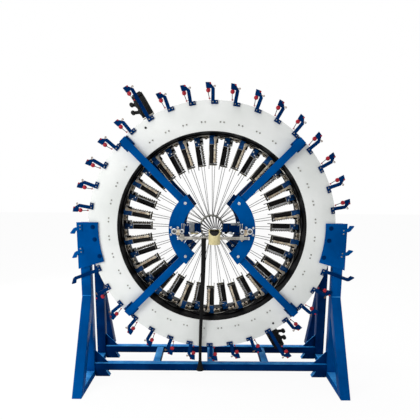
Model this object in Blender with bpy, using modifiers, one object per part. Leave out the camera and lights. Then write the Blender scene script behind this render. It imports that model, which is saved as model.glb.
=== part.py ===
"""Radial braiding machine.

A ring of white side plates and black track segments stands upright between two pairs of posts. The carriers
stand on the inside of the ring and point at its centre, where the forming ring and the take-off hang between
four yoke plates. X runs to the right, Y to the back and Z up. The origin is on the floor under the ring's
centre. Metres throughout.
"""

import math

import bmesh
import bpy
from mathutils import Matrix, Vector

# Fits between touching pieces
fit = 0.0003
weld_depth = 0.005
union_sink = 0.002

# The ring
ring_outer_r = 1.30
ring_band = 0.30
ring_ground_gap = 0.37
ring_depth = 0.62
ring_plate = 0.012
housing_band = 0.16
ring_steps_deg = 5
front_sections = 4
rear_sections = 2
track_sections = 6
ring_inner_r = ring_outer_r - ring_band
ring_height = ring_ground_gap + ring_outer_r
housing_outer_r = ring_inner_r + housing_band

# Horn gears and carriers on the inside of the ring, their lengths told from its inner face to the centre
carrier_count = 36
carriers_a_gear = 2
carrier_phase_deg = 1.0
carrier_stagger = 0.06
gear_disc_r = 0.150
gear_disc_stand = 0.015
gear_disc_sink = 0.030
gear_disc_sides = 18
shoe_size = (0.060, 0.046)
shoe_sink = 0.004
shoe_reach = 0.038
block_size = (0.098, 0.076)
block_reach = 0.107
flange_size = (0.084, 0.072)
flange_thick = 0.006
bobbin_r = 0.024
bobbin_x = -0.020
end_plate_reach = 0.320
end_plate_size = (0.084, 0.060)
end_plate_thick = 0.008
spring_r = 0.007
spring_x = 0.028
lever_size = (0.018, 0.022)
lever_x = 0.012
lever_y = 0.023
lever_reach = 0.275
prong_r = 0.0045
prong_x = -0.037
prong_reach = 0.365

# Guide hooks on the front face and goosenecks by the ears
hook_count = 36
hook_thick = 0.012
hook_inset = 0.003
hook_foot_high = 0.038
hook_foot_reach = 0.050
hook_half_width = 0.018
hook_arm = 0.148
hook_arm_motor = 0.348
hook_head_lean = 0.050
hook_head_rise = 0.057
hook_head_cut = 0.008
hook_head_step = 0.002
hook_foot_r = ring_outer_r - hook_inset - hook_foot_high
pulley_r = 0.018
pulley_thick = 0.016
pulley_u = -0.052
pulley_v = -0.013
neck_arm_long = 0.297
neck_angles_long_deg = (110, 250)
neck_angles_ear_deg = (90, 100, 260, 270)
neck_past_ear = 0.008
neck_foot_inset = 0.060
neck_bend = 0.022
neck_bend_cut = 0.010
neck_lean = 0.050
neck_rise = 0.060
neck_tip_cut = 0.008
neck_tip_long = 0.048

# Drive motors on the rim
motor_angles_deg = (330, 150)
gearbox_size = (0.120, 0.130)
gearbox_rise = 0.060
motor_size = (0.130, 0.130)
motor_length = 0.230
motor_cap = 0.045
motor_cap_share = 0.8
plug_r = 0.026
plug_reach = 0.075
plug_places = (0.30, 0.75)

# Diagonal arms and yokes
arm_angles_deg = (45, 135, 225, 315)
arm_width = 0.075
arm_depth = 0.050
arm_end_inset = 0.013
arm_lap = 0.050
arm_pad = 0.116
arm_pad_inset = 0.070
arm_pad_thick = 0.012
yoke_outer_r = 0.450
yoke_band = 0.150
yoke_half_deg = 53.5
yoke_thick = 0.015

# Slide tubes and forming ring at the centre
slide_edge = 0.060
slide_x = yoke_outer_r - slide_edge
slide_r = 0.025
slide_bore_r = 0.019
slide_sides = 16
slide_overhang = 0.035
slide_flange_r = 0.050
slide_flange_thick = 0.010
slide_drop = 0.010
forming_r = 0.128
forming_tube_r = 0.012
forming_sides = 8
forming_steps = 32
bar_high = 0.100
bar_thick = 0.040
bar_collar_r = 0.040
bar_socket = 0.012

# Cross rail, guide bush and braided sleeve in front
rail_size = 0.030
rail_gap = 0.005
rail_drop = slide_drop + slide_flange_r + rail_gap + rail_size / 2
rail_left_inset = 0.030
clamp_gap = 0.008
clamp_size = (0.044, 0.060)
clamp_rise = 0.010
clamp_x = slide_x - slide_flange_r - clamp_gap - clamp_size[0] / 2
upright_inset = 0.010
upright_size = (0.008, 0.016)
upright_rise = 0.150
upright_foot = 0.010
upright_gap = 0.022
bush_x = 0.024
bush_drop = 0.064
bush_outer_r = 0.060
bush_inner_r = 0.042
bush_high = 0.110
bush_lip = 0.006
bush_tilt_deg = 25
bush_stand = 0.050
sleeve_r = 0.025
sleeve_r_low = 0.017
sleeve_top_x = -0.085
sleeve_low_x = -0.120
sleeve_sides = 10
sleeve_steps = 5
sleeve_straight = 0.060
sleeve_neck_rise = 0.120
sleeve_swell_rise = 0.050
sleeve_flare_drop = 0.020
sleeve_flare_r = 0.052

# Stand
post_width = 0.100
post_gap = 0.005
post_x = ring_outer_r + post_gap + post_width / 2
post_y = ring_depth / 2 - post_gap - post_width / 2
foot_beam_high = 0.070
ear_thick = 0.020
ear_lap = 0.103
ear_past_post = 0.015
ear_outer_x = post_x + post_width / 2 + ear_past_post
ear_top = 0.070
ear_slope_deg = 16.8
ear_steps = 6
ear_pad_drop = 0.360
ear_pad_inset = 0.010
ear_bolt_insets = (0.050, 0.065, 0.110)
ear_bolt_heights = (0.020, -0.110, -0.290)
ear_bolt_r = 0.014
ear_bolt_high = 0.012
brace_top = 0.940
brace_reach = 0.800
brace_width = 0.100
brace_deep = 0.110
beam_size = 0.080
beam_gap = 0.006
gusset = 0.150
gusset_thick = 0.010
anchor_wide = 0.110
anchor_outer_x = post_x - post_width / 2 - post_gap
anchor_inner_x = anchor_outer_x - anchor_wide
anchor_lean = 0.050
anchor_deep = 0.070
cross_tube_x = 0.620
cross_tube_width = 0.080

# Planes from the ring's middle outwards
ring_face = ring_depth / 2
hook_back = ring_face + fit
arm_pad_back = hook_back
arm_back = arm_pad_back + arm_pad_thick
arm_front = arm_back + arm_depth
yoke_back = arm_front + fit
yoke_front = yoke_back + yoke_thick
rail_back = yoke_front + fit
ear_back = ring_face + fit
ear_front = ear_back + ear_thick
brace_foot_inner = brace_reach - brace_deep


def start_empty():
    for thing in list(bpy.data.objects):
        bpy.data.objects.remove(thing)
    for group in list(bpy.data.collections):
        bpy.data.collections.remove(group)


def new_collection(name):
    group = bpy.data.collections.new(name)
    bpy.context.scene.collection.children.link(group)
    return group


def new_material(name, colour, roughness, metallic):
    paint = bpy.data.materials.new(name)
    paint.use_nodes = True
    shader = paint.node_tree.nodes["Principled BSDF"]
    shader.inputs["Base Color"].default_value = (*colour, 1.0)
    shader.inputs["Roughness"].default_value = roughness
    shader.inputs["Metallic"].default_value = metallic
    return paint


def shape(name, bm):
    """A working object from a bmesh, outside the finished collections' order."""
    mesh = bpy.data.meshes.new(name)
    bm.to_mesh(mesh)
    bm.free()
    made = bpy.data.objects.new(name, mesh)
    workshop.objects.link(made)
    return made


def block(centre, size):
    bm = bmesh.new()
    place = Matrix.Translation(centre) @ Matrix.Diagonal((*size, 1.0))
    bmesh.ops.create_cube(bm, size=1.0, matrix=place)
    return shape("block", bm)


def rod(start, end, radius, sides=12):
    """A round bar between two places."""
    start, end = Vector(start), Vector(end)
    along = end - start
    turn = Vector((0, 0, 1)).rotation_difference(along).to_matrix().to_4x4()
    place = Matrix.Translation((start + end) / 2) @ turn
    bm = bmesh.new()
    bmesh.ops.create_cone(
        bm,
        cap_ends=True,
        segments=sides,
        radius1=radius,
        radius2=radius,
        depth=along.length,
        matrix=place,
    )
    return shape("rod", bm)


def as_mesh(source, weld=True):
    """The source's evaluated shape as a plain mesh object, in place of the source, with its caps welded."""
    depsgraph = bpy.context.evaluated_depsgraph_get()
    mesh = bpy.data.meshes.new_from_object(source.evaluated_get(depsgraph))
    made = bpy.data.objects.new(source.name, mesh)
    made.matrix_world = source.matrix_world
    workshop.objects.link(made)
    if weld:
        bm = bmesh.new()
        bm.from_mesh(mesh)
        bmesh.ops.remove_doubles(bm, verts=bm.verts, dist=0.00001)
        bmesh.ops.recalc_face_normals(bm, faces=bm.faces)
        bm.to_mesh(mesh)
        bm.free()
    bpy.data.objects.remove(source)
    return made


def outline(points, near, far):
    """A flat plate in the XZ plane between the depths near and far."""
    curve = bpy.data.curves.new("outline", "CURVE")
    curve.dimensions = "2D"
    curve.fill_mode = "BOTH"
    curve.extrude = abs(far - near) / 2
    spline = curve.splines.new("POLY")
    spline.points.add(len(points) - 1)
    for point, (across, up) in zip(spline.points, points):
        point.co = (across, up, 0.0, 1.0)
    spline.use_cyclic_u = True
    plate = bpy.data.objects.new("outline", curve)
    workshop.objects.link(plate)
    stand_up = Matrix.Rotation(math.radians(90), 4, "X")
    plate.matrix_world = Matrix.Translation((0, (near + far) / 2, 0)) @ stand_up
    bpy.context.view_layer.update()
    return as_mesh(plate)


def side_outline(points, left, right):
    """A flat plate in the YZ plane between the places left and right."""
    plate = outline(points, -right, -left)
    plate.matrix_world = Matrix.Rotation(math.radians(90), 4, "Z") @ plate.matrix_world
    return plate


def tube(points, radius, sides):
    """A round bar along a path, whose points are places with their shares of the radius."""
    curve = bpy.data.curves.new("tube", "CURVE")
    curve.dimensions = "3D"
    curve.bevel_depth = radius
    curve.bevel_resolution = (sides - 4) // 2
    curve.use_fill_caps = True
    spline = curve.splines.new("POLY")
    spline.points.add(len(points) - 1)
    for point, (place, share) in zip(spline.points, points):
        point.co = (*place, 1.0)
        point.radius = share
    bar = bpy.data.objects.new("tube", curve)
    workshop.objects.link(bar)
    bpy.context.view_layer.update()
    return as_mesh(bar)


def turned(profile, steps):
    """A turned shape about Z from a closed profile of (radius, height) points."""
    bm = bmesh.new()
    corners = [bm.verts.new((radius, 0.0, height)) for radius, height in profile]
    for first, second in zip(corners, corners[1:] + corners[:1]):
        bm.edges.new((first, second))
    made = shape("turned", bm)
    screw = made.modifiers.new("Turn", "SCREW")
    screw.axis = "Z"
    screw.steps = steps
    screw.render_steps = steps
    screw.use_merge_vertices = True
    screw.merge_threshold = 0.0001
    bpy.context.view_layer.update()
    return as_mesh(made)


def arc(radius, start_deg, end_deg, steps):
    """Points on a circle about the outline's origin, by angles clockwise from the top."""
    turns = [math.radians(start_deg + (end_deg - start_deg) * i / steps) for i in range(steps + 1)]
    return [(radius * math.sin(turn), radius * math.cos(turn)) for turn in turns]


def sector(inner_r, outer_r, start_deg, end_deg, near, far, ends=0.0):
    """A flat ring sector, each of its two ends cut back by the length ends, parallel to itself."""
    steps = max(1, round((end_deg - start_deg) / ring_steps_deg))
    outer = arc(outer_r, start_deg, end_deg, steps)
    inner = arc(inner_r, end_deg, start_deg, steps)
    outer[0] = along_rim(outer[0], start_deg, ends)
    outer[-1] = along_rim(outer[-1], end_deg, -ends)
    inner[0] = along_rim(inner[0], end_deg, -ends)
    inner[-1] = along_rim(inner[-1], start_deg, ends)
    return outline(outer + inner, near, far)


def along_rim(point, angle_deg, way):
    """The point moved clockwise by a length, square to the radius at the angle."""
    turn = math.radians(angle_deg)
    return (point[0] + way * math.cos(turn), point[1] - way * math.sin(turn))


def around(angle_deg):
    """Turns a piece drawn at the top of the ring to an angle clockwise from the top."""
    centre = Matrix.Translation((0, 0, ring_height))
    return centre @ Matrix.Rotation(math.radians(angle_deg), 4, "Y")


def moved(piece, place):
    piece.matrix_world = place @ piece.matrix_world
    return piece


def twin(piece, place):
    """A copy of the piece that shares its mesh."""
    made = bpy.data.objects.new(piece.name, piece.data)
    workshop.objects.link(made)
    made.matrix_world = place @ piece.matrix_world
    return made


def boolean(body, operation, others):
    group = bpy.data.collections.new("operands")
    workshop.children.link(group)
    for other in others:
        workshop.objects.unlink(other)
        group.objects.link(other)
    joint = body.modifiers.new(operation.title(), "BOOLEAN")
    joint.operation = operation
    joint.operand_type = "COLLECTION"
    joint.collection = group
    joint.solver = "EXACT"
    bpy.context.view_layer.update()
    made = as_mesh(body, weld=False)
    for other in others:
        bpy.data.objects.remove(other)
    bpy.data.collections.remove(group)
    return made


def fused(pieces):
    return boolean(pieces[0], "UNION", pieces[1:])


def cut(body, cutters):
    return boolean(body, "DIFFERENCE", cutters)


def mirrored(piece, axis):
    """A copy turned inside out through the plane across the axis, with its faces pointing out again."""
    flip = Matrix.Scale(-1, 4, axis)
    mesh = piece.data.copy()
    mesh.transform(flip @ piece.matrix_world)
    mesh.flip_normals()
    made = bpy.data.objects.new(piece.name, mesh)
    workshop.objects.link(made)
    return made


def finish(piece, name, paint, smooth_deg=None):
    """Names the finished piece, gives it its material and puts it in the machine."""
    piece.name = name
    piece.data = piece.data.copy()
    piece.data.name = name
    piece.data.materials.clear()
    piece.data.materials.append(paint)
    if smooth_deg:
        piece.data.shade_smooth()
        piece.data.set_sharp_from_angle(angle=math.radians(smooth_deg))
    workshop.objects.unlink(piece)
    machine.objects.link(piece)
    return piece


def hook_outline(arm):
    """A guide hook at the top of the ring: foot, radial arm and head leaning to the left."""
    left, right = -hook_half_width, hook_half_width
    foot_top = hook_foot_r + hook_foot_high
    bend = hook_foot_r + arm
    head = bend + hook_head_rise
    return [
        (left, hook_foot_r),
        (hook_foot_reach, hook_foot_r),
        (hook_foot_reach, foot_top),
        (right, foot_top),
        (right, bend),
        (right - hook_head_lean, head),
        (left - hook_head_lean - hook_head_cut, head),
        (left - hook_head_lean, bend + hook_head_step),
        (left, bend),
    ]


def neck_outline(foot, bend):
    """A gooseneck at the top of the ring, between the radii of its foot and its bend, its head cut flat."""
    left, right = -hook_half_width, hook_half_width
    tip = bend + neck_rise
    return [
        (left, foot),
        (hook_foot_reach, foot),
        (hook_foot_reach, foot + hook_foot_high),
        (right, foot + hook_foot_high),
        (right, bend),
        (right - neck_bend_cut, bend + neck_bend),
        (neck_tip_cut - neck_lean, tip),
        (-neck_lean, tip - neck_tip_cut),
        (-neck_lean, tip - neck_tip_long),
        (left - neck_tip_cut, bend),
        (left, bend - neck_bend_cut),
    ]


def guide_hook(angle_deg, arm):
    """A hook with its pulley, drawn sunk into the plate behind it."""
    hook = outline(hook_outline(arm), -hook_back - hook_thick, -ring_face + union_sink)
    bend = hook_foot_r + arm
    hub_front = -hook_back - hook_thick + union_sink
    start = Vector((pulley_u, hub_front, bend + pulley_v))
    pulley = rod(start, start + Vector((0, pulley_thick, 0)), pulley_r, sides=7)
    return moved(fused([hook, pulley]), around(angle_deg))


def gooseneck(angle_deg, foot, bend, seat):
    """A gooseneck on a plate whose face is at the depth seat."""
    neck = outline(neck_outline(foot, bend), -seat - hook_thick, -seat + union_sink)
    return moved(neck, around(angle_deg))


def ring_guide(number):
    """The guide on the ring for a place counted clockwise from the top, or None where an ear carries it."""
    angle = number * 360 // hook_count
    if angle in neck_angles_ear_deg:
        return None
    if angle in neck_angles_long_deg:
        return gooseneck(angle, hook_foot_r, hook_foot_r + neck_arm_long, ring_face)
    return guide_hook(angle, hook_arm_motor if angle in motor_angles_deg else hook_arm)


def front_plates(paint):
    sweep = 360 / front_sections
    for number, name in enumerate(("top", "right", "bottom", "left")):
        start = number * sweep - sweep / 2
        plate = sector(
            ring_inner_r, ring_outer_r, start, start + sweep, -ring_face, -ring_face + ring_plate, fit / 2
        )
        moved(plate, Matrix.Translation((0, 0, ring_height)))
        places = [hook for hook in range(hook_count) if (hook * 360 / hook_count - start) % 360 < sweep]
        guides = [guide for guide in map(ring_guide, places) if guide]
        finish(fused([plate] + guides), f"front_plate_{name}", paint)


def rear_plates(paint):
    sweep = 360 / rear_sections
    for number, name in enumerate(("upper", "lower")):
        start = number * sweep - sweep / 2
        plate = sector(
            ring_inner_r, ring_outer_r, start, start + sweep, ring_face - ring_plate, ring_face, fit / 2
        )
        moved(plate, Matrix.Translation((0, 0, ring_height)))
        finish(plate, f"rear_plate_{name}", paint)


def carrier():
    """One bobbin carrier at the top of the ring, standing on the track and pointing at the centre."""
    shoe_top = ring_inner_r + shoe_sink
    shoe_foot = ring_inner_r - shoe_reach
    block_top = shoe_foot + union_sink
    block_foot = ring_inner_r - block_reach
    flange_top = block_foot + union_sink
    root = block_foot + 2 * union_sink
    end = ring_inner_r - end_plate_reach
    lever_foot = ring_inner_r - lever_reach
    shoe = block((0, 0, (shoe_top + shoe_foot) / 2), (*shoe_size, shoe_top - shoe_foot))
    body = block((0, 0, (block_top + block_foot) / 2), (*block_size, block_top - block_foot))
    flange = block((0, 0, flange_top - flange_thick / 2), (*flange_size, flange_thick))
    end_plate = block((0, 0, end), (*end_plate_size, end_plate_thick))
    bobbin = rod((bobbin_x, 0, root), (bobbin_x, 0, end), bobbin_r, sides=8)
    spring = rod((spring_x, 0, root), (spring_x, 0, end), spring_r, sides=4)
    lever = block((lever_x, lever_y, (root + lever_foot) / 2), (*lever_size, root - lever_foot))
    prong = rod((prong_x, 0, end), (prong_x, 0, ring_inner_r - prong_reach), prong_r, sides=4)
    return fused([body, shoe, flange, end_plate, bobbin, spring, lever, prong])


def gear_face(angle_deg):
    """A horn gear's round face inside the ring, a corner of its edge turned off the housing's crease."""
    near = (0, 0, ring_inner_r - gear_disc_stand)
    far = (0, 0, ring_inner_r + gear_disc_sink)
    half_side = Matrix.Rotation(math.pi / gear_disc_sides, 4, "Z")
    return moved(rod(near, far, gear_disc_r, gear_disc_sides), around(angle_deg) @ half_side)


def track_segments(paint):
    """The ring's closed housing in sections, with its horn gears' faces and left and right hand carriers."""
    pitch = 360 / carrier_count
    gear_pitch = pitch * carriers_a_gear
    sweep = 360 / track_sections
    face = ring_face - ring_plate - fit
    rear_carrier = carrier()
    front_carrier = mirrored(rear_carrier, Vector((0, 1, 0)))
    for section in range(track_sections):
        start = section * sweep - pitch / 2
        housing = sector(ring_inner_r, housing_outer_r, start, start + sweep, -face, face, fit / 2)
        parts = [moved(housing, Matrix.Translation((0, 0, ring_height)))]
        for gear in range(round(sweep / gear_pitch)):
            parts.append(gear_face(start + gear_pitch * (gear + 0.5) + carrier_phase_deg))
        for place in range(round(sweep / pitch)):
            number = section * round(sweep / pitch) + place
            at_rear = number % 2
            hand = rear_carrier if at_rear else front_carrier
            stagger = carrier_stagger if at_rear else -carrier_stagger
            angle = number * pitch + carrier_phase_deg
            parts.append(twin(hand, around(angle) @ Matrix.Translation((0, stagger, 0))))
        finish(fused(parts), f"track_segment_{section + 1}", paint)
    for spare in (rear_carrier, front_carrier):
        bpy.data.objects.remove(spare)


def drive_motors(paint):
    """A gearbox on the housing's rim with the motor standing out from it along the radius."""
    base = housing_outer_r + fit
    rim = ring_outer_r + gearbox_rise
    motor_end = rim + motor_length
    cap_middle = motor_end + motor_cap / 2 - weld_depth
    cap_size = [motor_cap_share * side for side in motor_size]
    plug_end = -motor_size[0] / 2 - plug_reach
    for angle, name in zip(motor_angles_deg, ("upper", "lower")):
        gearbox = block((0, 0, (base + rim) / 2), (*gearbox_size, rim - base))
        body = block((0, 0, (rim + motor_end) / 2 - union_sink), (*motor_size, motor_length))
        cap = block((0, 0, cap_middle), (*cap_size, motor_cap))
        heights = [rim + motor_length * share for share in plug_places]
        plugs = [rod((0, 0, height), (plug_end, 0, height), plug_r) for height in heights]
        piece = moved(fused([gearbox, body, cap] + plugs), around(angle))
        finish(piece, f"drive_motor_{name}", paint)


def diagonal_arm():
    """A front arm at the top of the ring, with its mounting pad."""
    outer = ring_outer_r - arm_end_inset
    inner = yoke_outer_r - arm_lap
    beam = block((0, -(arm_back + arm_front) / 2, (outer + inner) / 2), (arm_width, arm_depth, outer - inner))
    pad_front = arm_back + union_sink
    pad_middle = (0, -(arm_pad_back + pad_front) / 2, ring_outer_r - arm_pad_inset)
    pad = block(pad_middle, (arm_pad, pad_front - arm_pad_back, arm_pad))
    return fused([beam, pad])


def yoke_plate():
    """The right front yoke, with the hole that its slide tube passes through."""
    inner = yoke_outer_r - yoke_band
    plate = sector(inner, yoke_outer_r, 90 - yoke_half_deg, 90 + yoke_half_deg, -yoke_front, -yoke_back)
    outside = (slide_x, -yoke_front - yoke_thick, -slide_drop)
    inside = (slide_x, -yoke_back + yoke_thick, -slide_drop)
    return cut(plate, [rod(outside, inside, slide_r + fit, slide_sides)])


def arms_and_yokes(paint):
    pattern = diagonal_arm()
    back = mirrored(pattern, Vector((0, 1, 0)))
    names = ("upper_right", "lower_right", "lower_left", "upper_left")
    for angle, name in zip(arm_angles_deg, names):
        finish(twin(pattern, around(angle)), f"front_arm_{name}", paint)
        finish(twin(back, around(angle)), f"rear_arm_{name}", paint)
    centre = Matrix.Translation((0, 0, ring_height))
    front_right = yoke_plate()
    front_left = mirrored(front_right, Vector((1, 0, 0)))
    for piece, name in ((front_right, "right"), (front_left, "left")):
        behind = mirrored(piece, Vector((0, 1, 0)))
        finish(moved(behind, centre), f"rear_yoke_{name}", paint)
        finish(moved(piece, centre), f"front_yoke_{name}", paint)
    for spare in (pattern, back):
        bpy.data.objects.remove(spare)


def slide_tubes(paint):
    """Round tubes through both yokes, each with a flange against the front yoke's face."""
    for side, name in ((-1, "left"), (1, "right")):
        across = side * slide_x
        height = ring_height - slide_drop
        reach = yoke_front + slide_overhang
        body = rod((across, -reach, height), (across, reach, height), slide_r, slide_sides)
        seat = -yoke_front - fit
        rim = seat - slide_flange_thick
        past = reach + slide_overhang
        flange = rod((across, rim, height), (across, seat, height), slide_flange_r, slide_sides)
        bore = rod((across, -past, height), (across, past, height), slide_bore_r, slide_sides)
        finish(cut(fused([body, flange]), [bore]), f"slide_tube_{name}", paint, 40)


def forming_section(radius):
    """The round section of the forming ring, or of the seat round it."""
    turns = [2 * math.pi * i / forming_sides for i in range(forming_sides)]
    return [(forming_r + radius * math.cos(turn), radius * math.sin(turn)) for turn in turns]


def forming_ring(paint):
    """The round ring that the yarns run over, at the middle of the machine's depth."""
    ring = turned(forming_section(forming_tube_r), forming_steps)
    place = Matrix.Translation((0, 0, ring_height)) @ Matrix.Rotation(math.radians(90), 4, "X")
    finish(moved(ring, place), "forming_ring", paint, 60)


def ring_bars(paint):
    """The bars that carry the forming ring from the slide tubes, with a collar round each tube."""
    height = ring_height - slide_drop
    half = bar_thick / 2
    past = bar_thick
    inner = forming_r - bar_socket
    outer = slide_x - slide_r - bar_socket
    upright = Matrix.Translation((0, 0, ring_height)) @ Matrix.Rotation(math.radians(90), 4, "X")
    for side, name in ((-1, "left"), (1, "right")):
        bar = block((side * (inner + outer) / 2, 0, height), (outer - inner, bar_thick, bar_high))
        across = side * slide_x
        collar = rod((across, -half, height), (across, half, height), bar_collar_r, slide_sides)
        bore = rod((across, -past, height), (across, past, height), slide_r + fit, slide_sides)
        seat = moved(turned(forming_section(forming_tube_r + fit), forming_steps), upright)
        opening = rod((0, -past, ring_height), (0, past, ring_height), forming_r, forming_steps)
        finish(cut(fused([bar, collar]), [bore, opening, seat]), f"ring_bar_{name}", paint)


def cross_rail(paint):
    """The rail across the yokes' faces, with its clamps and pairs of uprights."""
    height = ring_height - rail_drop
    middle = -(rail_back + rail_size / 2)
    left, right = rail_left_inset - slide_x, slide_x
    parts = [block(((left + right) / 2, middle, height), (right - left, rail_size, rail_size))]
    clamp_width, clamp_high = clamp_size
    upright_middle = height + upright_rise / 2 - upright_foot
    for side in (-1, 1):
        place = (side * clamp_x, middle - weld_depth, height + clamp_rise)
        parts.append(block(place, (clamp_width, rail_size, clamp_high)))
        for way in (-1, 1):
            across = side * (clamp_x - upright_inset) + way * upright_gap / 2
            parts.append(block((across, middle - union_sink, upright_middle), (*upright_size, upright_rise)))
    finish(fused(parts), "cross_rail", paint)


def guide_bush(paint):
    """The round bush that gathers the yarns, tilted forward and cut flat where it sits on the rail."""
    end = bush_high / 2
    lip = bush_inner_r + bush_lip
    profile = [
        (bush_outer_r, end),
        (bush_outer_r, -end),
        (bush_inner_r, -end),
        (bush_inner_r, end - bush_lip),
        (lip, end),
    ]
    cup = turned(profile, 24)
    tilt = Matrix.Rotation(math.radians(bush_tilt_deg), 4, "X")
    seat = -(rail_back + rail_size + fit)
    middle = (bush_x, seat - bush_stand, ring_height - bush_drop)
    moved(cup, Matrix.Translation(middle) @ tilt)
    back = block((bush_x, seat + bush_high, middle[2]), (3 * bush_outer_r, 2 * bush_high, 3 * bush_high))
    finish(cut(cup, [back]), "guide_bush", paint, 40)


def braided_sleeve(paint):
    """The braided sleeve that hangs from the rail to the front beam and flares at its foot."""
    beam_middle = foot_beam_high + beam_gap + beam_size / 2
    beam_face = post_y + beam_size / 2
    flat_r = sleeve_r * math.cos(math.pi / sleeve_sides)
    top = Vector((sleeve_top_x, -(rail_back + rail_size + flat_r + fit), ring_height - rail_drop))
    foot = Vector((sleeve_low_x, -(beam_face + sleeve_flare_r + fit), beam_middle))
    neck = foot + Vector((0, 0, sleeve_neck_rise))
    low_share = sleeve_r_low / sleeve_r
    start = top - Vector((0, 0, sleeve_straight))
    path = [(top, 1.0)]
    for step in range(sleeve_steps + 1):
        share = step / sleeve_steps
        ease = share * share * (3 - 2 * share)
        place = start.lerp(neck, ease)
        place.z = start.z + (neck.z - start.z) * share
        path.append((place, 1 + (low_share - 1) * ease))
    path.append((foot + Vector((0, 0, sleeve_swell_rise)), 1.0))
    path.append((foot - Vector((0, 0, sleeve_flare_drop)), sleeve_flare_r / sleeve_r))
    finish(tube(path, sleeve_r, sleeve_sides), "braided_sleeve", paint, 60)


def ear_plate():
    """The right front ear plate about the ring's centre, with its large bolts."""
    inner_r = ring_outer_r - ear_lap
    low = -ear_outer_x * math.tan(math.radians(ear_slope_deg))
    start_deg = 90 - math.degrees(math.asin(ear_top / inner_r))
    inner = arc(inner_r, 90 + ear_slope_deg, start_deg, ear_steps)
    ear = outline(inner + [(ear_outer_x, ear_top), (ear_outer_x, low)], -ear_front, -ear_back)
    bolts = []
    for inset, height in zip(ear_bolt_insets, ear_bolt_heights):
        across = ring_outer_r - inset
        head = (across, -ear_front - ear_bolt_high, height)
        bolts.append(rod(head, (across, -ear_front + union_sink, height), ear_bolt_r, 6))
    return moved(fused([ear] + bolts), Matrix.Translation((0, 0, ring_height)))


def ear_goosenecks(side):
    """The goosenecks on the ear plate of one side, their bends just past its outer edge."""
    guides = []
    for angle in neck_angles_ear_deg:
        reach = math.sin(math.radians(angle))
        if reach * side > 0:
            edge = ear_outer_x / abs(reach)
            guides.append(gooseneck(angle, edge - neck_foot_inset, edge + neck_past_ear, ear_front))
    return guides


def posts(paint):
    """The posts with their ear plates; the front ones carry goosenecks."""
    top = ring_height + ear_top - weld_depth
    bottom = foot_beam_high + fit
    pillar = block((post_x, -post_y, (top + bottom) / 2), (post_width, post_width, top - bottom))
    pad_top = top - ear_pad_inset
    pad_low = ring_height - ear_pad_drop
    pad_middle = (post_x, -(post_y + ear_front) / 2, (pad_top + pad_low) / 2)
    pad_depth = ear_front - post_y - ear_pad_inset
    pad = block(pad_middle, (post_width - ear_pad_inset, pad_depth, pad_top - pad_low))
    right = fused([pillar, pad, ear_plate()])
    left = mirrored(right, Vector((1, 0, 0)))
    for plain, side, name in ((right, 1, "right"), (left, -1, "left")):
        finish(mirrored(plain, Vector((0, 1, 0))), f"rear_post_{name}", paint)
        finish(fused([plain] + ear_goosenecks(side)), f"front_post_{name}", paint)


def braces(paint):
    """The right front brace from the post's face to the floor, and its three mirror images."""
    face = -(post_y + post_width / 2) - fit
    half = brace_width / 2
    low = brace_top - brace_deep * brace_top / (brace_reach + face)
    edge = [(face, brace_top), (-brace_reach, 0.0), (-brace_foot_inner, 0.0), (face, low)]
    brace = side_outline(edge, post_x - half, post_x + half)
    behind = mirrored(brace, Vector((0, 1, 0)))
    left = Vector((1, 0, 0))
    finish(mirrored(brace, left), "front_brace_left", paint)
    finish(mirrored(behind, left), "rear_brace_left", paint)
    finish(brace, "front_brace_right", paint)
    finish(behind, "rear_brace_right", paint)


def foot_beams(paint):
    """The beams on the floor under the posts, between the braces' feet."""
    slope = (brace_reach - (post_y + post_width / 2)) / brace_top
    low = brace_foot_inner - fit * 2
    high = low - slope * foot_beam_high
    edge = [(-low, 0.0), (low, 0.0), (high, foot_beam_high), (-high, foot_beam_high)]
    half = post_width / 2
    for side, name in ((-1, "left"), (1, "right")):
        beam = side_outline(edge, side * post_x - half, side * post_x + half)
        finish(beam, f"foot_beam_{name}", paint)


def cross_beams(paint):
    """The front and rear beams with their corner gussets and the brackets that stand them on the floor."""
    end = post_x - post_width / 2 - fit
    low = foot_beam_high + beam_gap
    top = low + beam_size
    beam = block((0, -post_y, (low + top) / 2), (2 * end, beam_size, beam_size))
    parts = [beam]
    for side in (-1, 1):
        corner = [
            (side * end, top - weld_depth),
            (side * (end - gusset), top - weld_depth),
            (side * (end - gusset), top),
            (side * end, top + gusset),
        ]
        parts.append(outline(corner, -post_y - gusset_thick / 2, -post_y + gusset_thick / 2))
        bracket = [
            (side * anchor_outer_x, low + weld_depth),
            (side * anchor_inner_x, low + weld_depth),
            (side * (anchor_inner_x - anchor_lean), 0.0),
            (side * anchor_outer_x, 0.0),
        ]
        parts.append(outline(bracket, -post_y - anchor_deep / 2, -post_y + anchor_deep / 2))
    front = fused(parts)
    finish(mirrored(front, Vector((0, 1, 0))), "rear_beam", paint)
    finish(front, "front_beam", paint)


def cross_tubes(paint):
    """The tubes that tie the front beam to the rear one."""
    middle = foot_beam_high + beam_gap + beam_size / 2
    size = (cross_tube_width, 2 * (post_y - beam_size / 2 - fit), beam_size - 2 * beam_gap)
    for place, name in ((-1, "left"), (0, "middle"), (1, "right")):
        finish(block((place * cross_tube_x, 0, middle), size), f"cross_tube_{name}", paint)


start_empty()
machine = new_collection("braiding_machine")
workshop = new_collection("workshop")

blue = new_material("blue paint", (0.010, 0.078, 0.305), 0.35, 0.0)
white = new_material("white paint", (0.80, 0.82, 0.81), 0.40, 0.0)
black = new_material("black steel", (0.010, 0.012, 0.014), 0.45, 0.5)
silver = new_material("bright steel", (0.50, 0.49, 0.47), 0.30, 1.0)
cream = new_material("cream plastic", (0.79, 0.72, 0.43), 0.45, 0.0)
braid = new_material("black braid", (0.010, 0.010, 0.011), 0.85, 0.0)

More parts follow.
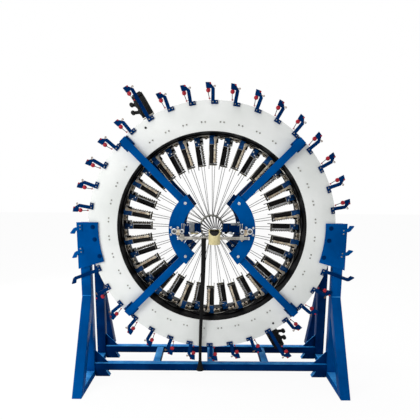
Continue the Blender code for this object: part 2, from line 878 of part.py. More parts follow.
front_plates(white)
rear_plates(white)
track_segments(black)
drive_motors(black)
arms_and_yokes(blue)
slide_tubes(silver)
forming_ring(silver)
ring_bars(blue)
cross_rail(silver)
guide_bush(cream)
braided_sleeve(braid)
posts(blue)
braces(blue)
foot_beams(blue)
cross_beams(blue)
cross_tubes(blue)
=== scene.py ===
import math

import bmesh
import bpy
from mathutils import Matrix, Quaternion, Vector


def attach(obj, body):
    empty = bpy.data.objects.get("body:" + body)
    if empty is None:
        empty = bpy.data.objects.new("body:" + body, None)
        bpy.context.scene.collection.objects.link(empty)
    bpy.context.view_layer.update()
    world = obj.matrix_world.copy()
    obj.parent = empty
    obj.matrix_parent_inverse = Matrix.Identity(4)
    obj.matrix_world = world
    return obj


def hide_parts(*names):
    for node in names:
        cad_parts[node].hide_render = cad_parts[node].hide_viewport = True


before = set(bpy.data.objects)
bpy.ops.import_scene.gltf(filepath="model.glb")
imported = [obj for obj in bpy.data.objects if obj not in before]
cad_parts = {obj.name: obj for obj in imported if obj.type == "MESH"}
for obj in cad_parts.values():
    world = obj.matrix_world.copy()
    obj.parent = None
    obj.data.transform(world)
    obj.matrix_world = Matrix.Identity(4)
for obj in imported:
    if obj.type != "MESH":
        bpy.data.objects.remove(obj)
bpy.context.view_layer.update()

# Sizes of the machine, in metres, as its solids have them. The depths are told from the ring's middle
ring_height = 1.67
ring_outer_r = 1.30
ring_inner_r = 1.00
ring_face = 0.31
plate_thick = 0.012
housing_outer_r = 1.16
hook_foot_r = 1.259
hook_bend_r = 1.407
hook_back = 0.3103
hook_front = 0.3223
ear_face = 0.3303
yoke_face = 0.3876
flange_thick = 0.010
hook_thick = 0.012
arm_pad_face = 0.3225
arm_pad_r = 1.23
screw_pair_r = 1.09
screw_pair_half = 0.0185
carrier_depth = 0.06
slide_x = 0.390
slide_z = ring_height - 0.010
rail_z = ring_height - 0.080

# Places round the ring, in degrees clockwise from its top
stations = 36
station_deg = 10
carrier_lead_deg = 1
motor_angles = (330, 150)
long_neck_angles = (110, 250)
ear_neck_angles = (90, 100, 260, 270)
arm_angles = (45, 135, 225, 315)

# A face looks one way, or mostly one way, when its normal has at least this share of it
one_way = 0.9
mostly_one_way = 0.5

# How finely arcs are drawn, the narrow gap at a seam between two sectors, and one that keeps two faces apart
arc_step_deg = 1.5
seam_deg = 0.03
hair_gap = 0.0003


# Finishes

def linear(code):
    """An sRGB hex colour as linear numbers."""
    shares = [int(code[place:place + 2], 16) / 255 for place in (1, 3, 5)]
    return [share / 12.92 if share <= 0.04045 else ((share + 0.055) / 1.055) ** 2.4 for share in shares] + [1.0]


def add(tree, kind, sockets=None, **settings):
    """Adds a node with its settings, and gives its sockets their values or links."""
    node = tree.nodes.new(kind)
    for name, value in settings.items():
        setattr(node, name, value)
    for name, value in (sockets or {}).items():
        if isinstance(value, bpy.types.NodeSocket):
            tree.links.new(value, node.inputs[name])
        else:
            node.inputs[name].default_value = value
    return node


def grained(name, dark, light, patch, grain, depth, roughness, spread, **sockets):
    """A finish whose colour drifts between two shades over patches, with a fine grain in its relief and gloss.

    patch and grain are sizes in metres, depth is the grain's relief, and roughness varies by spread.
    """
    finish = bpy.data.materials.new(name)
    finish.use_nodes = True
    tree = finish.node_tree
    shader = tree.nodes["Principled BSDF"]
    place = add(tree, "ShaderNodeTexCoord").outputs["Object"]
    drift = add(tree, "ShaderNodeTexNoise", {"Vector": place, "Scale": 1 / patch, "Detail": 4.0})
    fine = add(tree, "ShaderNodeTexNoise", {"Vector": place, "Scale": 1 / grain, "Detail": 2.0})
    spread_out = add(tree, "ShaderNodeMapRange", {"Value": drift.outputs[0], "From Min": 0.35, "From Max": 0.65})
    # The mix node has several sockets of one name, so its colour ones are reached by their number
    shade = add(tree, "ShaderNodeMix", {0: spread_out.outputs[0], 6: linear(dark), 7: linear(light)},
                data_type="RGBA")
    tree.links.new(shade.outputs[2], shader.inputs["Base Color"])
    gloss = add(tree, "ShaderNodeMapRange", {"Value": drift.outputs[0], "From Min": 0.3, "From Max": 0.7,
                                             "To Min": roughness - spread, "To Max": roughness + spread})
    tree.links.new(gloss.outputs[0], shader.inputs["Roughness"])
    relief = add(tree, "ShaderNodeBump", {"Height": fine.outputs[0], "Strength": 0.6, "Distance": depth})
    tree.links.new(relief.outputs[0], shader.inputs["Normal"])
    for socket, value in sockets.items():
        shader.inputs[socket.replace("_", " ")].default_value = value
    return finish


# Powder coat baked on steel: an even, deep blue skin with a faint orange peel, duller where it is handled; the azure
# tint of its reflections, shared by the deeper coat, is a painted sky reflection
blue_sheen = linear("#1F86E0")
blue_paint = grained("blue powder coat on steel", "#00407E", "#005098", 0.35, 0.006, 0.0003, 0.30, 0.06,
                     Specular_IOR_Level=0.01, Specular_Tint=blue_sheen)
# A deeper blue coat on the laser-cut hooks, the bars that hold the forming ring and a block on them; on the beams,
# the cross tubes, the members behind and the ears' bolts the deeper blue is painted shade
deep_blue_and_painted_shade = grained("deep blue powder coat with painted shade", "#00214F", "#002D62", 0.20, 0.006, 0.0003, 0.36, 0.06,
                     Specular_IOR_Level=0.01, Specular_Tint=blue_sheen)
# Level tops of the stand and the upper edges of its welds: the blue coat painted lighter and azure as painted light
# from above, and duller
painted_top_light = grained("blue powder coat with painted top light", "#1B7FCF", "#4CA6EA", 0.12, 0.005, 0.0003, 0.45, 0.08,
                      Specular_IOR_Level=0.05, Specular_Tint=linear("#3A9AEC"))
# White powder coat on flat cut plate, with a faint grey cast where oil and dust have been wiped
white_paint = grained("white powder coat on steel plate", "#DFE2DF", "#EBEDEB", 0.45, 0.006, 0.0002, 0.42, 0.06,
                      Specular_IOR_Level=0.30)
# Black oxide on machined iron, oily in places, so its gloss is uneven
black_iron = grained("black oxide on machined iron", "#010102", "#060607", 0.05, 0.003, 0.0003, 0.50, 0.10,
                     Specular_IOR_Level=0.06)
# Ground and bright zinc plated steel: a warm light grey metal with a satin gloss
bright_steel = grained("bright zinc plated steel", "#94918A", "#B5B2AA", 0.06, 0.002, 0.00015, 0.30, 0.08,
                       Metallic=1.0)
# Polished bolt heads and tube ends, which mirror the lamps
polished_steel = grained("polished steel", "#C2C5C8", "#E4E6E8", 0.03, 0.002, 0.0001, 0.22, 0.06, Metallic=1.0)
# Hard drawn rod, darkened by oil: a near black metal with a soft gloss
dark_steel = grained("oiled drawn steel rod", "#131315", "#2B2B2E", 0.03, 0.002, 0.0001, 0.36, 0.10, Metallic=0.8,
                     Specular_IOR_Level=0.3)
# Cast and tumbled aluminium: a pale grey metal whose gloss is blurred
cast_aluminium = grained("tumbled aluminium casting", "#7B7E80", "#A2A4A4", 0.04, 0.002, 0.0003, 0.42, 0.08,
                         Metallic=0.9)
# Anodised aluminium block, satin, in a deep blue
blue_anodised = grained("blue anodised aluminium", "#032850", "#094A86", 0.03, 0.002, 0.0001, 0.36, 0.08,
                        Metallic=0.2, Specular_IOR_Level=0.15)
# Turned nylon, a little waxy, yellowed towards cream
cream_nylon = grained("turned cream nylon", "#C8BB88", "#DACE9E", 0.05, 0.004, 0.0002, 0.45, 0.06,
                      Specular_IOR_Level=0.35)
# Warm grey zinc casting of the levers, worn bright
lever_metal = grained("worn zinc lever", "#9A8670", "#DDD2BA", 0.03, 0.003, 0.0002, 0.40, 0.10, Metallic=0.4)
# Cast polyurethane: an even, deep red with a soft gloss
red_urethane = grained("red cast polyurethane", "#7C0A1C", "#B6142C", 0.02, 0.003, 0.0001, 0.34, 0.06,
                       Specular_IOR_Level=0.3)
# Moulded black plastic with a spark-eroded grain, so matte and without a sharp highlight
black_plastic = grained("grained black plastic", "#050607", "#101113", 0.04, 0.002, 0.0003, 0.50, 0.08,
                        Specular_IOR_Level=0.2)
# Brushed grey steel of the ring that the yarns polish, and of the small screws: mid grey and half matte
grey_steel = grained("yarn polished grey steel", "#7E7F79", "#A3A39B", 0.03, 0.002, 0.0001, 0.38, 0.08, Metallic=0.5)
# Rusty pigtail guides of bent wire: a dull brown
rusty_wire = grained("rusted steel wire", "#5C4738", "#94785F", 0.01, 0.002, 0.0001, 0.5, 0.1, Metallic=0.4)
# Twisted carbon grey yarn, matte
grey_yarn = grained("grey twisted yarn", "#2B2B2C", "#474749", 0.01, 0.001, 0.0002, 0.8, 0.05,
                    Specular_IOR_Level=0.1)


def wound_yarn():
    """Black yarn wound on a bobbin: even turns, drawn 10 mm apart so that they show, along the piece's own UV."""
    finish = grained("black wound yarn", "#050506", "#121113", 0.02, 0.001, 0.0002, 0.62, 0.06,
                     Specular_IOR_Level=0.2)
    tree = finish.node_tree
    shader = tree.nodes["Principled BSDF"]
    flat = add(tree, "ShaderNodeTexCoord").outputs["UV"]
    # At scale 1 a wave texture has a band every pi / 10 of a unit, and a unit along the bobbin's side is 392 mm
    turns = add(tree, "ShaderNodeTexWave", {"Vector": flat, "Scale": 12.0, "Distortion": 0.6, "Detail": 1.0},
                bands_direction="Y")
    relief = add(tree, "ShaderNodeBump", {"Height": turns.outputs[1], "Strength": 0.7, "Distance": 0.001})
    tree.links.new(relief.outputs[0], shader.inputs["Normal"])
    return finish


def braided_cover():
    """A black braided sleeve: two sets of strands crossing, drawn 4 mm wide so that they show, along its UV."""
    finish = grained("black polyester braid", "#040404", "#0E0E0F", 0.02, 0.002, 0.0002, 0.75, 0.05,
                     Specular_IOR_Level=0.15)
    tree = finish.node_tree
    shader = tree.nodes["Principled BSDF"]
    flat = add(tree, "ShaderNodeTexCoord").outputs["UV"]
    # A band every pi / 18 of a unit, and a unit of the sleeve's flat pattern is 25 mm
    sets = []
    for turn in (45, -45):
        turned_flat = add(tree, "ShaderNodeMapping", {"Vector": flat, "Rotation": (0, 0, math.radians(turn))})
        sets.append(add(tree, "ShaderNodeTexWave", {"Vector": turned_flat.outputs[0], "Scale": 1.8}))
    woven = add(tree, "ShaderNodeMath", {0: sets[0].outputs[1], 1: sets[1].outputs[1]}, operation="MAXIMUM")
    relief = add(tree, "ShaderNodeBump", {"Height": woven.outputs[0], "Strength": 0.8, "Distance": 0.0012})
    tree.links.new(relief.outputs[0], shader.inputs["Normal"])
    return finish


black_yarn = wound_yarn()
black_braid = braided_cover()


# Ways of working

def alone(*pieces):
    """Leaves only these pieces selected, the first one active, in object mode."""
    if bpy.context.mode != "OBJECT":
        bpy.ops.object.mode_set(mode="OBJECT")
    bpy.ops.object.select_all(action="DESELECT")
    for piece in pieces:
        piece.select_set(True)
    if pieces:
        bpy.context.view_layer.objects.active = pieces[0]


def settled(name, paint, edge=0.0, segments=2):
    """Names the piece just added, sets its place into its mesh, paints it and rounds its sharp edges."""
    piece = bpy.context.object
    piece.name = name
    alone(piece)
    bpy.ops.object.transform_apply(location=True, rotation=True, scale=True)
    piece.data.materials.clear()
    piece.data.materials.append(paint)
    if edge:
        rounded(piece, edge, segments)
    return piece


def smoothed(piece, angle_deg=35):
    """Shades the piece smooth, but not across edges sharper than the angle."""
    alone(piece)
    bpy.ops.object.shade_smooth_by_angle(angle=math.radians(angle_deg))
    return piece


def rounded(piece, edge, segments=2, angle_deg=35):
    """Rounds the piece's sharp edges and shades it smooth between them."""
    alone(piece)
    bevel = piece.modifiers.new("Edges", "BEVEL")
    bevel.width = edge
    bevel.segments = segments
    bevel.limit_method = "ANGLE"
    bevel.angle_limit = math.radians(angle_deg)
    bpy.ops.object.modifier_apply(modifier=bevel.name)
    smoothed(piece, angle_deg)


def block(centre, size, paint, edge):
    """A block with rounded edges."""
    alone()
    bpy.ops.mesh.primitive_cube_add(size=1, location=centre)
    bpy.context.object.scale = size
    return settled("block", paint, edge)


def along(start, end):
    """The place that takes the Z axis to the line from start to end, and the origin to its start."""
    way = Vector(end) - Vector(start)
    return Matrix.Translation(start) @ Vector((0, 0, 1)).rotation_difference(way).to_matrix().to_4x4()


def to_back(start):
    """The place that takes the Z axis to the back, and the origin to the start."""
    return along(start, (start[0], 1, start[2]))


def bar(start, end, radius, paint, sides, edge=0.0):
    """A bar, round or with a few flat sides, with broken edges."""
    alone()
    length = (Vector(end) - Vector(start)).length
    middle = (Vector(start) + Vector(end)) / 2
    turn = along(start, end).to_euler()
    bpy.ops.mesh.primitive_cylinder_add(vertices=sides, radius=radius, depth=length, location=middle, rotation=turn)
    return settled("bar", paint, edge or min(radius, length) * 0.15, 1)


def rod(across, depth, start, end, radius, paint, sides, edge=0.0):
    """A bar along Z between two heights."""
    return bar((across, depth, start), (across, depth, end), radius, paint, sides, edge)


def pick(piece, wanted):
    """Enters edit mode with those faces selected whose normals are wanted."""
    alone(piece)
    bpy.ops.object.mode_set(mode="EDIT")
    bpy.ops.mesh.select_mode(type="FACE")
    bpy.ops.mesh.select_all(action="DESELECT")
    cage = bmesh.from_edit_mesh(piece.data)
    for face in cage.faces:
        face.select_set(bool(wanted(face.normal)))
    bmesh.update_edit_mesh(piece.data)


def leave_edit():
    """Goes back from edit mode to object mode."""
    bpy.ops.object.mode_set(mode="OBJECT")


def inset(piece, wanted, *steps):
    """Sets the wanted faces in by each (thickness, depth) in turn."""
    pick(piece, wanted)
    for thickness, depth in steps:
        bpy.ops.mesh.inset(thickness=thickness, depth=depth)
    leave_edit()
    return piece


def looks_down(normal):
    """Whether a face with this normal looks down."""
    return normal.z < -one_way


def closed_up(piece):
    """Merges a piece's doubles and turns its faces outwards."""
    alone(piece)
    bpy.ops.object.mode_set(mode="EDIT")
    bpy.ops.mesh.select_all(action="SELECT")
    bpy.ops.mesh.remove_doubles(threshold=0.00002)
    bpy.ops.mesh.normals_make_consistent(inside=False)
    leave_edit()


def lines_of(name, runs, closed):
    """A curve object of straight runs, each through its points."""
    curve = bpy.data.curves.new(name, "CURVE")
    curve.dimensions = "3D"
    for points in runs:
        spline = curve.splines.new("POLY")
        spline.points.add(len(points) - 1)
        for point, place in zip(spline.points, points):
            point.co = (*place, 1.0)
        spline.use_cyclic_u = closed
    piece = bpy.data.objects.new(name, curve)
    bpy.context.scene.collection.objects.link(piece)
    return piece


def meshed(piece):
    """Turns a curve object into a mesh."""
    alone(piece)
    bpy.ops.object.convert(target="MESH")
    return bpy.context.object


def cut_plate(outlines, near, far, paint, edge, name):
    """A plate in the ring's plane between two depths, its edges broken.

    It is cut to outlines of (x, z) points, the first one its rim and the others holes.
    """
    piece = lines_of(name, [[(across, up, 0.0) for across, up in outline] for outline in outlines], True)
    curve = piece.data
    curve.dimensions = "2D"
    curve.fill_mode = "BOTH"
    curve.extrude = abs(far - near) / 2 - edge
    curve.bevel_depth = edge
    curve.bevel_resolution = 1
    curve.offset = -edge
    flat = meshed(piece)
    flat.location = (0, (near + far) / 2, 0)
    flat.rotation_euler = (math.radians(90), 0, 0)
    made = settled(name, paint)
    closed_up(made)
    return smoothed(made)


def turned(profile, place, steps, paint, name, closed=False):
    """A shape spun about the Z axis from (radius, height) points, set at its place."""
    piece = meshed(lines_of(name, [[(radius, 0.0, height) for radius, height in profile]], closed))
    bpy.ops.object.mode_set(mode="EDIT")
    bpy.ops.mesh.select_all(action="SELECT")
    bpy.ops.mesh.spin(steps=steps, angle=2 * math.pi, center=(0, 0, 0), axis=(0, 0, 1))
    leave_edit()
    piece.data.transform(place)
    made = settled(name, paint)
    closed_up(made)
    return smoothed(made)


def wire(points, radius, paint, name, closed=False, round_steps=1):
    """A round wire through the points."""
    piece = lines_of(name, [points], closed)
    piece.data.bevel_depth = radius
    piece.data.bevel_resolution = round_steps
    piece.data.use_fill_caps = not closed
    meshed(piece)
    return smoothed(settled(name, paint), 60)


def circle(centre, radius, steps):
    """The points of a circle."""
    turns = [2 * math.pi * step / steps for step in range(steps)]
    return [(centre[0] + radius * math.cos(turn), centre[1] + radius * math.sin(turn)) for turn in turns]


def corners(half_across, half_up):
    """The four corners of a rectangle about the origin."""
    return [(across, up) for across in (-half_across, half_across) for up in (-half_up, half_up)]


def joined(name, pieces):
    """The pieces as one, under a new name."""
    alone(*pieces)
    bpy.ops.object.join()
    whole = bpy.context.object
    whole.name = name
    whole.data.name = name
    return whole


def copied(pattern, place, name):
    """A copy with its own mesh, set at its place; a mirroring place turns its faces out again."""
    made = pattern.copy()
    made.data = pattern.data.copy()
    made.name = name
    made.data.name = name
    bpy.context.scene.collection.objects.link(made)
    made.data.transform(place)
    if place.determinant() < 0:
        made.data.flip_normals()
    return made


def around(angle_deg):
    """Takes a piece drawn at the top of the ring to an angle clockwise from the top."""
    return Matrix.Translation((0, 0, ring_height)) @ Matrix.Rotation(math.radians(angle_deg), 4, "Y")


def seat(angle_deg, across, depth, radius):
    """Takes a piece drawn at the origin to a point on the ring, turned with the ring."""
    return around(angle_deg) @ Matrix.Translation((across, depth, radius))


def on_ring(angle_deg, across, depth, radius):
    """A point told from the ring's centre: clockwise, to the back and outwards at the angle."""
    return around(angle_deg) @ Vector((across, depth, radius))


def kept(piece, slot, *nodes):
    """The finished piece rides on the machine and stands for its solids; its slot is not used."""
    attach(piece, "root")
    if nodes:
        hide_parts(*nodes)
    return piece


def dressed(node, paint, slot, edge, top=None):
    """A copy of a solid with its flat faces made whole and its edges rounded, as a formed steel piece has them.

    Faces that look mostly up take the top finish, if one is given: painted light from above.
    """
    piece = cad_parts[node].copy()
    piece.data = piece.data.copy()
    piece.name = node + "_dressed"
    for key in list(piece.keys()):
        del piece[key]
    piece.parent = None
    bpy.context.scene.collection.objects.link(piece)
    piece.data.materials.clear()
    piece.data.materials.append(paint)
    alone(piece)
    bpy.ops.object.mode_set(mode="EDIT")
    bpy.ops.mesh.select_all(action="SELECT")
    bpy.ops.mesh.remove_doubles(threshold=0.00005)
    bpy.ops.mesh.dissolve_limited(angle_limit=math.radians(1))
    leave_edit()
    rounded(piece, edge, 2, 30)
    if top:
        piece.data.materials.append(top)
        for face in piece.data.polygons:
            if face.normal.z > mostly_one_way:
                face.material_index = 1
    return kept(piece, slot, node)


def cap_screw(radius, high, paint):
    """A socket head screw on the ring's front face, drawn at the origin with its head to the front."""
    screw = bar((0, 0, 0), (0, -high, 0), radius, paint, 16, radius * 0.12)
    return inset(screw, lambda normal: normal.y < -one_way, (radius * 0.42, 0), (radius * 0.04, -high * 0.6))


def hex_bolt(radius, high, paint):
    """A hexagon bolt on a round washer, drawn at the origin with its head to the front."""
    washer = bar((0, 0, 0), (0, -high * 0.25, 0), radius * 1.45, paint, 24, high * 0.06)
    head = bar((0, -high * 0.2, 0), (0, -high, 0), radius, paint, 6, radius * 0.10)
    return joined("hex_bolt", [washer, head])


def set_on(pattern, places, name, slot):
    """Copies of the pattern at several places as one piece, the pattern then removed."""
    made = [copied(pattern, place, name) for place in places]
    bpy.data.objects.remove(pattern)
    return kept(joined(name, made), slot)


# The ring's side plates and housing

def arc(radius, start_deg, end_deg):
    """The (x, z) points of an arc about the ring's centre."""
    steps = max(1, round(abs(end_deg - start_deg) / arc_step_deg))
    turns = [math.radians(start_deg + (end_deg - start_deg) * step / steps) for step in range(steps + 1)]
    return [(radius * math.sin(turn), ring_height + radius * math.cos(turn)) for turn in turns]


def ring_sector(outer, start_deg, end_deg, near, far, paint, edge, name):
    """A sector of the ring between two angles and two depths, short of the seams to its neighbours."""
    first, last = start_deg + seam_deg, end_deg - seam_deg
    return cut_plate([arc(outer, first, last) + arc(ring_inner_r, last, first)], near, far, paint, edge, name)


for label, node, sides, near in (("ring_plate", "front_plate", ("top", "right", "bottom", "left"), -ring_face),
                                 ("back_plate", "rear_plate", ("upper", "lower"), ring_face - plate_thick)):
    half = 180 // len(sides)
    for number, side in enumerate(sides):
        middle = 2 * half * number
        plate = ring_sector(ring_outer_r, middle - half, middle + half, near, near + plate_thick, white_paint,
                            0.0015, f"{label}_{side}")
        kept(plate, "white_paint", f"{node}_{side}")

# Pairs of small screws hold each plate to the housing, between the hooks. Those behind are turned to the back
facing_front = Matrix.Identity(4)
facing_back = Matrix.Rotation(math.radians(180), 4, "Z")


def screw_pairs(depth, facing):
    """The places of the pairs of screws on a plate's face."""
    return [seat((number + 0.5) * station_deg, way, depth, screw_pair_r) @ facing
            for number in range(stations) for way in (-screw_pair_half, screw_pair_half)]


beside_motors = [seat(angle - 3.5, 0, -ring_face, arm_pad_r) for angle in motor_angles]
for radius, high, paint, places, name in (
        (0.0082, 0.006, grey_steel, screw_pairs(-ring_face, facing_front), "front_plate_screws"),
        (0.0065, 0.005, dark_steel, screw_pairs(ring_face, facing_back), "rear_plate_screws"),
        (0.011, 0.008, dark_steel, beside_motors, "motor_screws")):
    set_on(cap_screw(radius, high, paint), places, name, "bright_steel")

# The black track housing in its six segments, with the gear covers and horns that stand on them
segment_deg, first_seam_deg = 60, -5
housing_face = ring_face - plate_thick - hair_gap
housing_parts = []
for number in range(6):
    start = number * segment_deg + first_seam_deg
    housing_parts.append([ring_sector(housing_outer_r, start, start + segment_deg, -housing_face, housing_face,
                                      black_iron, 0.002, f"track_housing_{number + 1}")])


def on_segment(pattern, angle, name):
    """Adds a copy at an angle to the track segment there; one at a seam goes with the segment before it."""
    housing_parts[(angle - 1) // segment_deg].append(copied(pattern, around(angle), name))


# A horn gear's cover plate: a stepped, grooved disc with a hub
gear_profile = [(0.0, -0.017), (0.018, -0.017), (0.020, -0.015), (0.020, -0.004), (0.052, -0.004), (0.055, -0.001),
                (0.092, -0.001), (0.095, -0.006), (0.101, -0.006), (0.104, 0.0), (0.146, 0.0), (0.150, 0.003),
                (0.150, 0.030), (0.0, 0.030)]
gear = turned(gear_profile, Matrix.Translation((0, 0, ring_inner_r - 0.015)), 40, black_iron, "gear_cover")
horn_lead_deg = carrier_lead_deg + station_deg // 2
for number in range(0, stations, 2):
    on_segment(gear, number * station_deg + horn_lead_deg, "gear_cover")
bpy.data.objects.remove(gear)

# Horn plates between the carriers: a black stepped hub that carries two worn steel discs
hub_profile = [(0.0, -0.046), (0.010, -0.046), (0.012, -0.044), (0.012, -0.036), (0.020, -0.034), (0.022, -0.032),
               (0.022, -0.008), (0.046, -0.006), (0.048, -0.004), (0.048, 0.002), (0.0, 0.002)]
hub = turned(hub_profile, Matrix.Translation((0, 0, ring_inner_r)), 20, black_iron, "horn_hub")
disc_profile = [(0.018, 0.0), (0.034, 0.0), (0.036, 0.0015), (0.036, 0.0045), (0.034, 0.006), (0.018, 0.006)]
discs = [turned(disc_profile, Matrix.Translation((0, 0, ring_inner_r + low)), 20, lever_metal, "horn_disc", True)
         for low in (-0.0365, -0.020)]
horn = joined("horn", [hub] + discs)
for number in range(stations):
    on_segment(horn, number * station_deg + horn_lead_deg, "horn")
bpy.data.objects.remove(horn)
for number, parts in enumerate(housing_parts, 1):
    kept(joined(f"track_housing_{number}", parts), "black_steel", f"track_segment_{number}")

# The edges of the two serpentine tracks that the carriers' shoes run in
track_swing, track_waves, track_r = 0.085, 9, ring_inner_r - 0.0165
for track, phase_deg in (("a", 45), ("b", 225)):
    for edge_side, gap, paint in (("outer", 0.012, dark_steel), ("inner", -0.012, bright_steel)):
        points = []
        for step in range(360):
            angle = step + 0.5
            swing = track_swing * math.cos(math.radians(track_waves * (angle - carrier_lead_deg) + phase_deg))
            points.append(on_ring(angle, 0, swing + gap, track_r))
        kept(wire(points, 0.0035, paint, f"track_edge_{track}_{edge_side}", True), "bright_steel")


# The carriers

def spring(across, low, high, coil_r, wire_r, turns, paint):
    """A coil spring between two heights on a line along Z."""
    steps_a_turn = 8
    steps = turns * steps_a_turn
    points = []
    for step in range(steps + 1):
        turn = 2 * math.pi * step / steps_a_turn
        height = high + (low - high) * (step / steps)
        points.append((across + coil_r * math.cos(turn), coil_r * math.sin(turn), height))
    return wire(points, wire_r, paint, "spring", False, 0)


def carrier(spring_paint):
    """One bobbin carrier at the top of the ring, its bobbin side to the front and its lever behind.

    Its parts are at their heights over the ring's centre, from the track down to the end plate.
    """
    bobbin_x, spring_x, guide_x, pulley_x = -0.020, 0.028, -0.0455, 0.031
    shoe = block((0, 0, 0.990), (0.100, 0.070, 0.010), black_iron, 0.003)
    pick(shoe, looks_down)
    bpy.ops.mesh.inset(thickness=0.014)
    bpy.ops.mesh.extrude_region_move(TRANSFORM_OT_translate={"value": (0, 0, -0.020)})
    leave_edit()
    # Blue body, its lower face set in, with a wider blue band round it, black cheeks, a slanting pin and two screws
    body = block((-0.019, 0, 0.938), (0.060, 0.072, 0.090), blue_anodised, 0.0025)
    parts = [
        shoe, inset(body, looks_down, (0.010, 0), (0.002, -0.003)),
        block((-0.012, 0, 0.940), (0.030, 0.076, 0.034), blue_anodised, 0.003),
        block((0.030, 0.010, 0.938), (0.036, 0.034, 0.056), black_iron, 0.003),
        bar((0.004, -0.037, 0.914), (0.032, -0.034, 0.902), 0.0075, bright_steel, 12, 0.002),
        block((0.022, -0.024, 0.940), (0.026, 0.018, 0.024), black_iron, 0.003),
        bar((-0.034, -0.037, 0.940), (-0.034, -0.030, 0.940), 0.009, polished_steel, 12),
        bar((-0.006, -0.037, 0.914), (-0.006, -0.030, 0.914), 0.007, polished_steel, 12),
    ]
    # Yarn pulleys and their fork beside the body
    groove = [(0.004, -0.005), (0.013, -0.005), (0.013, -0.003), (0.010, 0.0), (0.013, 0.003), (0.013, 0.005),
              (0.004, 0.005)]
    for height, depth in ((0.958, -0.024), (0.918, -0.024), (0.958, 0.028)):
        parts.append(turned(groove, to_back((pulley_x, depth, height)), 16, cast_aluminium, "yarn_pulley", True))
        front, back = depth - 0.008, depth + 0.012
        parts.append(bar((pulley_x, front, height), (pulley_x, back, height), 0.003, bright_steel, 8))
    parts.append(block((0.046, -0.016, 0.938), (0.004, 0.018, 0.062), bright_steel, 0.0012))
    # Flange, wound bobbin and the bobbin's two end discs
    parts.append(block((0, 0, 0.8915), (0.086, 0.068, 0.005), bright_steel, 0.0015))
    parts.append(rod(bobbin_x, 0, 0.888, 0.692, 0.0225, black_yarn, 24, 0.002))
    for height in (0.885, 0.690):
        parts.append(rod(bobbin_x, 0, height - 0.002, height + 0.002, 0.0245, dark_steel, 24, 0.0008))
    # Guide rods beside the bobbin, the outer two of them running on as the prong, and the spring on its rod
    parts += [
        rod(guide_x, -0.008, 0.898, 0.636, 0.0048, black_iron, 8),
        rod(guide_x, 0.012, 0.898, 0.637, 0.0038, bright_steel, 8),
        rod(0.0085, -0.022, 0.898, 0.684, 0.0055, polished_steel, 12),
        rod(spring_x, 0, 0.895, 0.684, 0.0055, black_iron, 8),
        spring(spring_x, 0.708, 0.880, 0.0116, 0.0036, 7, spring_paint),
        rod(spring_x, 0, 0.706, 0.698, 0.0125, dark_steel, 12, 0.001),
    ]
    # Lever with its two pivot rings, on the far side
    lever_line = [(-0.002, 0.960), (0.006, 0.972), (0.026, 0.972), (0.033, 0.958), (0.024, 0.905), (0.0225, 0.840),
                  (0.0215, 0.725), (0.0020, 0.725), (0.0030, 0.840), (0.0050, 0.905)]
    parts.append(cut_plate([lever_line], 0.030, 0.042, lever_metal, 0.002, "lever"))
    ring = [(0.004, 0.0), (0.0105, 0.0), (0.0105, 0.006), (0.004, 0.006)]
    for pivot in ((0.012, 0.041, 0.832), (0.016, 0.041, 0.950)):
        parts.append(turned(ring, to_back(pivot), 16, bright_steel, "pivot", True))
    parts.append(block((0.012, 0.034, 0.712), (0.026, 0.014, 0.024), lever_metal, 0.003))
    # End plate with its yarn eyes
    end = block((-0.002, 0, 0.680), (0.088, 0.060, 0.007), black_iron, 0.002)
    parts.append(inset(end, looks_down, (0.008, 0), (0.001, -0.002)))
    parts.append(block((-0.002, 0, 0.6855), (0.080, 0.054, 0.004), bright_steel, 0.001))
    eye = [(0.003, 0.0), (0.006, 0.0), (0.006, 0.008), (0.003, 0.008)]
    for across in (-0.012, 0.018):
        parts.append(turned(eye, Matrix.Translation((across, -0.012, 0.669)), 12, cream_nylon, "eye", True))
    return joined("carrier", parts)


# Odd carriers stand on the rear track, and even ones on the front track, turned front to back as mirror images
mirror = Matrix.Scale(-1, 4, Vector((0, 1, 0)))
# The springs are one steel on both sets; the warm lever metal on the even set's springs and the bright steel on the
# odd set's are painted light and shade
for first, depth, hand, spring_paint in ((1, carrier_depth, Matrix.Identity(4), bright_steel),
                                         (0, -carrier_depth, mirror, lever_metal)):
    pattern = carrier(spring_paint)
    for number in range(first, stations, 2):
        place = seat(number * station_deg + carrier_lead_deg, 0, depth, 0) @ hand
        kept(copied(pattern, place, f"carrier_{number:02d}"), "bright_steel")
    bpy.data.objects.remove(pattern)


# Guide hooks and goosenecks

# The outline of a hook's foot, from its lower left corner to where its upright begins
foot_line = [(-0.018, hook_foot_r), (0.050, hook_foot_r), (0.050, hook_foot_r + 0.038), (0.018, hook_foot_r + 0.038)]
# Its two screws, across and above the foot's lower edge
foot_screws = [(0.0, 0.019), (0.035, 0.019)]


def whole_hook(name, head, fittings):
    """A hook at the top of the ring: a plate of the foot's and the head's outline, its fittings and foot screws."""
    parts = [cut_plate([foot_line + head], -hook_front, -hook_back, deep_blue_and_painted_shade, 0.001, name)] + fittings
    for across, up in foot_screws:
        screw = cap_screw(0.006, 0.005, grey_steel)
        screw.data.transform(Matrix.Translation((across, -hook_front, hook_foot_r + up)))
        parts.append(screw)
    return joined(name, parts)


